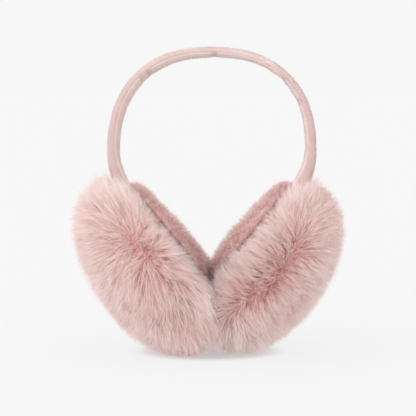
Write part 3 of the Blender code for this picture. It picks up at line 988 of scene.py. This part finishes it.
def fur_lines(cup, base, coat, dice):
    """The strands' points in the world, from root to tip, and their tones."""
    roots = fur_roots(cup, base, coat["count"], dice)
    normals = cup.normals(roots)
    inner_side = smooth_step(-roots[:, 2], -INNER_FROM, INNER_TO)
    away, distance = cup.from_parting(roots, normals)
    lean = LEAN_FAR + (LEAN_NEAR - LEAN_FAR) * np.exp(-distance / LEAN_FADE)
    lean += INNER_LEAN[cup.side] * inner_side
    lean *= 1 - np.exp(-distance / LEAN_ONSET)
    down = cup.axes @ np.array((0.0, 0.0, -1.0))
    heading = normals + away * lean[:, None] + DROOP * down
    for row in HEADING_SWELLS:
        seed = coat["seed"] % 7 + row["seed"] + cup.side
        heading += row["amount"] * swells(roots, row["size"], seed)
    heading, close = beside_crease(cup, roots, unit(heading + STRAY * dice.normal(size=roots.shape)))
    near_parting = np.exp(-distance / PARTING_SPREAD)
    height = cup.to_world(roots)[:, 2]
    at_top = smooth_step(roots[:, 1], TOP_FROM * cup.radius, TOP_TO * cup.radius)

    fur_end = coat["reach"] - SHALLOW_PARTING * near_parting
    fur_end += END_SWELL * swells(roots, END_SIZE, 31 + cup.side)[:, 0]
    fur_end -= coat["spread"] * np.abs(dice.normal(size=len(roots)))
    fur_end += CREASE_FILL[cup.side] * close
    fur_end += LOW_FULLNESS * (1 - smooth_step(height, LOW_FROM, LOW_TO)) * (1 - close)
    fur_end += TOP_FULLNESS[cup.side] * at_top
    fringe = smooth_step(-roots[:, 2], FRINGE_FROM, FRINGE_TO)
    ragged = FRINGE_SWELL * swells(roots, FRINGE_SIZE, 35 + cup.side)[:, 0]
    fur_end += fringe * (FRINGE_REACH + ragged + FRINGE_SPREAD * dice.normal(size=len(roots)))
    length = strand_lengths(cup, roots, heading, fur_end)

    shares = np.linspace(0.0, 1.0, coat["knots"])[None, :, None]
    bend = roots + normals * (STRAND_BEND * length)[:, None]
    tips = roots + heading * length[:, None]
    lines = roots[:, None] * (1 - shares) ** 2 + bend[:, None] * 2 * shares * (1 - shares)
    lines = lines + tips[:, None] * shares**2
    lines, _ = gathered(lines, TUFT_SIZE, TUFT_PULL * shares[0, :, 0] ** 2, dice)
    pull = np.array(coat["pull"]) * (1 + FRINGE_PULL * fringe[:, None])
    lines, leaders = gathered(lines, coat["tuft"], pull, dice)
    lines = lines + coat["frizz"] * dice.normal(size=lines.shape) * shares**0.7

    tone = FUR_TONE + FUR_MOTTLE * swells(roots, FUR_MOTTLE_SIZE, 41)[:, 0]
    tone += STRAND_TONE * dice.normal(size=len(roots))
    # Painted shade at the right cup's partings and painted light at the left cup's
    tone += TUFT_TONE * dice.normal(size=len(roots))[leaders] + PARTING_LIGHT_AND_SHADE[cup.side] * near_parting
    # Painted light on the fringe and on the side that meets the head
    tone += FRINGE_PAINTED_LIGHT * fringe + INNER_PAINTED_LIGHT[cup.side] * inner_side
    tone -= UNDERSIDE_SHADE * (1 - smooth_step(height, 0.0, UNDERSIDE_TO)) + TOP_SHADE[cup.side] * at_top
    return kept_in_place(cup, lines, dice), np.clip(tone, *TONE_RANGE)


def beside_crease(cup, roots, heading):
    """Stands the strands up that would grow into the other cup's fur, and says how close to it they are."""
    tips = cup.to_world(roots + heading * CREASE_LOOK)
    aside = cup.side * (tips[:, 0] - crease_at(tips[:, 2]))
    close = 1 - smooth_step(aside, 0.0, CREASE_REACH)
    close *= smooth_step(tips[:, 2], NOTCH_HEIGHT, 4 * NOTCH_HEIGHT)
    sideways = cup.axes @ np.array((1.0, 0.0, 0.0))
    turned = heading - (CREASE_TURN * close * (heading @ sideways))[:, None] * sideways
    return unit(turned), close


def strand_lengths(cup, roots, heading, fur_end):
    """How long each strand is to end at its share of the full shape."""
    short = np.full(len(roots), SHORTEST_STRAND)
    long = np.full(len(roots), LONGEST_STRAND)
    for _ in range(LENGTH_HALVINGS):
        middle = (short + long) / 2
        inside = cup.reach(roots + heading * middle[:, None]) < fur_end
        short = np.where(inside, middle, short)
        long = np.where(inside, long, middle)
    return long


def kept_in_place(cup, lines, dice):
    """Turns strands aside at the floor, at the other cup's fur and at the band."""
    count, knots = lines.shape[:2]
    world = cup.to_world(lines.reshape(-1, 3))
    rise = FUR_FLOOR * (1 + FUR_FLOOR_SPREAD * np.repeat(dice.random(count), knots))
    from_crease = np.abs(world[:, 0] - crease_at(world[:, 2]) - NOTCH_ASIDE)
    rise += NOTCH_HEIGHT * (1 - smooth_step(from_crease, NOTCH_FROM, NOTCH_TO))
    pressed = np.maximum(rise - world[:, 2], 0.0)
    contact = (PLANE_X + cup.side * CONTACT_ASIDE, SHIFT_Y, 0.0)
    world += FLOOR_SPLAY * pressed[:, None] * unit((world - contact) * (1.0, 1.0, 0.0))
    world[:, 2] += pressed
    weave = WEAVE_DEPTH * swells(world * (0.0, 1.0, 1.0), WEAVE_SIZE, 51)[:, 0]
    crossing = WEAVE_OVERLAP + WEAVE_TIPS * np.tile(np.linspace(0.0, 1.0, knots), count) ** 2
    spare = -crossing * np.repeat(dice.random(count), knots) ** 2
    aside = cup.side * (world[:, 0] - crease_at(world[:, 2]) - weave)
    world[:, 0] += cup.side * np.maximum(spare - aside, 0.0)
    return BAND.pushed_out(world, FUR_BAND_GAP).reshape(count, knots, 3)


def fur_coat(cup, base, kind):
    coat = COATS[kind]
    dice = np.random.default_rng(coat["seed"] + cup.side)
    lines, tone = fur_lines(cup, base, coat, dice)
    name = cup.name + "_" + kind
    along = np.linspace(0.0, coat["top"], coat["knots"])
    mesh = strand_mesh(name, lines, coat["width"], along, tone, dice)
    return finished_piece(mesh, name, long_fur, cup.name + "_fur_cup")


def ring_profile(cup):
    """The padded ring's half section as (radius, depth), drawn in by its pile."""
    outer, crest = PAD_RADIUS - RING_INSET, PAD_CREST_DEPTH[cup.side] - RING_INSET
    hollow = HOLLOW_RADIUS + HOLLOW_INSET
    floor = HOLLOW_LEVEL - HOLLOW_INSET
    points = [(share * outer, PAD_SEAT_DEPTH) for share in (0.0, 0.5, RING_FOOT)]
    for turn in math.pi / 2 * np.arange(RING_ARC_STEPS) / RING_ARC_STEPS:
        radius = PAD_CREST_RADIUS + (outer - PAD_CREST_RADIUS) * math.cos(turn)
        depth = PAD_SEAT_DEPTH + (crest - PAD_SEAT_DEPTH) * (RING_WALL + (1 - RING_WALL) * math.sin(turn))
        points.append((radius, depth))
    for turn in math.pi / 2 * np.arange(RING_ARC_STEPS + 1) / RING_ARC_STEPS:
        radius = hollow + (PAD_CREST_RADIUS - hollow) * math.cos(turn)
        depth = crest - (crest - floor) * (1 - math.cos(turn) ** 2)
        points.append((radius, depth))
    return points + [(hollow / 2, floor), (0.0, floor)]


def squeezed(cup, points):
    """Moves the ring's points up its own plane, so that it gives way to the other cup's ring."""
    world = cup.to_world(points)
    gap = PELT_PARTNER_GAP / 2 - cup.side * (world[:, 0] - PLANE_X)
    lowest = points[:, 1] + gap / (cup.side * cup.up[0])
    spare = (points[:, 1] - lowest) / PAD_SQUEEZE_SOFTNESS
    room = PAD_SQUEEZE_SOFTNESS * (np.log1p(np.exp(-np.abs(spare))) + np.maximum(spare, 0.0))
    moved = points.copy()
    moved[:, 1] = lowest + room
    return moved


def face_rank(face):
    """A face's place by its corners, as a turned mesh's faces come in another order each run."""
    corners = [corner.index for corner in face.verts]
    return min(corners) * RING_SEGMENTS ** 2 + max(corners)


def ring_pad(cup):
    """The padded ring and the floor of its hollow, turned round its axis, with soft dents."""
    made = bmesh.new()
    corners = [made.verts.new((radius, PAD_RAISE, -depth)) for radius, depth in ring_profile(cup)]
    edges = [made.edges.new(pair) for pair in zip(corners, corners[1:])]
    bmesh.ops.spin(
        made,
        geom=corners + edges,
        cent=(0.0, PAD_RAISE, 0.0),
        axis=(0.0, 0.0, 1.0),
        angle=2 * math.pi,
        steps=RING_SEGMENTS,
        use_merge=True,
    )
    bmesh.ops.remove_doubles(made, verts=made.verts, dist=0.01 * MM)
    made.verts.index_update()
    made.faces.sort(key=face_rank)
    points = np.array([corner.co for corner in made.verts])
    crest = PAD_CREST_DEPTH[cup.side] - PAD_SEAT_DEPTH
    risen = np.clip((-points[:, 2] - PAD_SEAT_DEPTH) / crest, 0.0, 1.0)
    points[:, 2] += RING_DENT * swells(points, RING_DENT_SIZE, 61 + cup.side)[:, 0] * risen
    points[:, 2] += PAD_TOP_THINNING * risen * smooth_step(points[:, 1], PAD_RAISE, PAD_RAISE + PAD_RADIUS)
    for corner, place in zip(made.verts, cup.to_world(squeezed(cup, points))):
        corner.co = place
    name = cup.name + "_ear_ring"
    ring = piece_from(made, name, ring_finish, cup.name + "_ear_pad")
    return ring


def ring_fur(cup, base):
    """Short fur on the ring and in its hollow."""
    dice = np.random.default_rng(300 + cup.side)
    points, faces = surface_of(base)
    depth = -cup.to_cup(points[faces].mean(axis=1))[:, 2]
    roots, normals = scattered(points, faces, depth > PAD_SEAT_DEPTH + RING_BARE, RING_STRANDS, dice)
    held = cup.to_cup(roots)
    from_axis = np.hypot(held[:, 0], held[:, 1] - PAD_RAISE)
    pile = np.where(from_axis < HOLLOW_RADIUS + HOLLOW_EDGE, HOLLOW_PILE, RING_PILE)
    edge = smooth_step(from_axis, PAD_CREST_RADIUS, PAD_RADIUS - RING_INSET)
    top = edge * smooth_step(held[:, 1], RING_TOP_FROM, RING_TOP_TO)
    low = edge * (1 - smooth_step(held[:, 1], RING_LOW_FROM, RING_LOW_TO))
    pile = pile * (1 + RING_TOP_GROWTH * top + RING_LOW_GROWTH * low)
    heading = normals + RING_TURN * swells(roots, RING_TURN_SIZE, 301 + cup.side)
    heading += RING_STRAY * dice.normal(size=roots.shape)
    heading += RING_TOP_LEAN * top[:, None] * cup.up
    length = pile * (1.12 + 0.08 * swells(roots, 5 * MM, 303)[:, 0] - 0.35 * dice.random(len(roots)) ** 2)
    shares = np.array(RING_KNOTS)[None, :, None]
    side_step = RING_FRIZZ * dice.normal(size=roots.shape)
    tips = roots + unit(heading) * length[:, None] + side_step
    lines = roots[:, None] + (tips - roots)[:, None] * shares
    lines[:, 1] += normals * (RING_BEND * length)[:, None]
    lines, leaders = gathered(lines, RING_TUFT, RING_PULL, dice)
    lines[:, 0] -= normals * RING_ROOT_DEPTH
    world = lines.reshape(-1, 3)
    aside = cup.side * (world[:, 0] - PLANE_X)
    spare = WEAVE_OVERLAP * (np.repeat(dice.random(len(lines)), lines.shape[1]) - RING_WEAVE)
    world[:, 0] += cup.side * np.maximum(spare - aside, 0.0)
    lines = BAND.pushed_out(world, RING_BAND_GAP).reshape(lines.shape)
    tone = 0.5 + RING_MOTTLE * swells(roots, RING_MOTTLE_SIZE, 302)[:, 0]
    tone += STRAND_TONE * dice.normal(size=len(roots))
    # A tone for each ring, the left one lighter with painted light, and painted shade beside the fringe
    tone += RING_TUFT_TONE * dice.normal(size=len(roots))[leaders] + RING_TONE_AND_PAINTED_LIGHT[cup.side]
    beside_fringe = 1 - smooth_step(-held[:, 2] - PAD_SEAT_DEPTH, RING_SHADE_FROM, RING_SHADE_TO)
    tone -= RING_SHADE * beside_fringe * edge
    name = cup.name + "_ring_fur"
    mesh = strand_mesh(name, lines, RING_STRAND_WIDTH, RING_KNOTS, np.clip(tone, *TONE_RANGE), dice)
    return finished_piece(mesh, name, short_fur, cup.name + "_ear_pad")


# The studio


def camera():
    back = Vector((0.0, -math.cos(CAMERA_ELEVATION), math.sin(CAMERA_ELEVATION)))
    data = bpy.data.cameras.new("camera")
    data.lens = CAMERA_LENS
    data.sensor_width = 36.0
    data.clip_end = 100.0
    made = bpy.data.objects.new("camera", data)
    made.location = Vector((PLANE_X + AIM_ASIDE, SHIFT_Y, AIM_HEIGHT)) + back * CAMERA_DISTANCE
    made.rotation_euler = (math.pi / 2 - CAMERA_ELEVATION, 0.0, 0.0)
    bpy.context.scene.collection.objects.link(made)
    bpy.context.scene.camera = made


def studio():
    """A white room: the floor's own glow makes up what its shade lacks, so that it meets the background."""
    sunlit = 0.0
    for sun in SUNS:
        sunlit += sun["strength"] * Vector(sun["from"]).normalized().z / math.pi
        data = bpy.data.lights.new(sun["name"], "SUN")
        data.energy = sun["strength"]
        data.angle = math.radians(sun["spread"])
        lamp = bpy.data.objects.new(sun["name"], data)
        lamp.rotation_mode = "QUATERNION"
        lamp.rotation_quaternion = Vector(sun["from"]).to_track_quat("Z", "Y")
        bpy.context.scene.collection.objects.link(lamp)
    world = bpy.data.worlds.new("studio")
    bpy.context.scene.world = world
    world.use_nodes = True
    background = world.node_tree.nodes["Background"]
    background.inputs["Color"].default_value = (1.0, 1.0, 1.0, 1.0)
    background.inputs["Strength"].default_value = BACKGROUND

    made = bmesh.new()
    bmesh.ops.create_grid(made, x_segments=1, y_segments=1, size=FLOOR_SIZE / 2)
    mesh = bpy.data.meshes.new("studio_floor")
    made.to_mesh(mesh)
    made.free()
    floor = bpy.data.objects.new("studio_floor", mesh)
    bpy.context.scene.collection.objects.link(floor)
    paint = Finish("studio_floor", (BACKGROUND, BACKGROUND, BACKGROUND))
    place = paint.node("ShaderNodeTexCoord", output=3)
    across = paint.node("ShaderNodeSeparateXYZ", {}, {"Vector": place})
    ahead = Wire(paint, across.socket.node.outputs["Y"])
    away = across * across * CONTACT_WIDTH**-2 + ahead * ahead * CONTACT_DEPTH**-2
    shade = paint.step(away, 1.4, 0.5) * (CONTACT_SHADE - FLOOR_SHADE) + FLOOR_SHADE
    paint.principled(
        Base_Color=shade,
        Roughness=1.0,
        Specular_IOR_Level=0.0,
        Emission_Color=BACKGROUND - shade * (BACKGROUND + sunlit),
        Emission_Strength=1.0,
    )
    mesh.materials.append(paint.material)
    bpy.context.scene.view_settings.view_transform = "Standard"


camera()
studio()
cover = band_cover()
band_pile(cover)
for cup in CUPS.values():
    backing = pelt(cup)
    for kind in COATS:
        fur_coat(cup, backing, kind)
    ring_fur(cup, ring_pad(cup))
